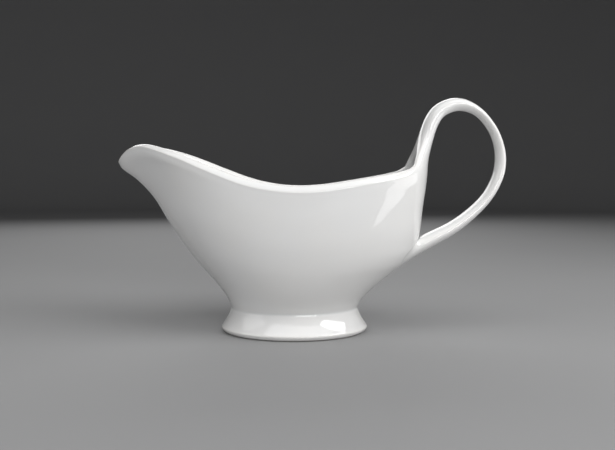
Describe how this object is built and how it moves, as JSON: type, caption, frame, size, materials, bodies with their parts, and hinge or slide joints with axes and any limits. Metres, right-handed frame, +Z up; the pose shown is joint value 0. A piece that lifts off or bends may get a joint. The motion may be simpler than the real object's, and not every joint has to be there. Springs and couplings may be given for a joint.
{
  "type": "gravy boat",
  "caption": "Porcelain gravy boat with an oval pedestal foot, a drawn-out pouring spout and a tall looped strap handle.",
  "frame": {"origin": "on the table, under the middle of the whole length and width", "axes": "+X from the spout to the handle, +Y across the bowl, +Z up"},
  "size_m": [0.2044, 0.076, 0.1227],
  "materials": {
    "glazed_porcelain": "clear gloss glaze over white porcelain"
  },
  "bodies": {
    "root": {"bowl": "glazed_porcelain", "foot": "glazed_porcelain", "handle": "glazed_porcelain"}
  },
  "joints": []
}
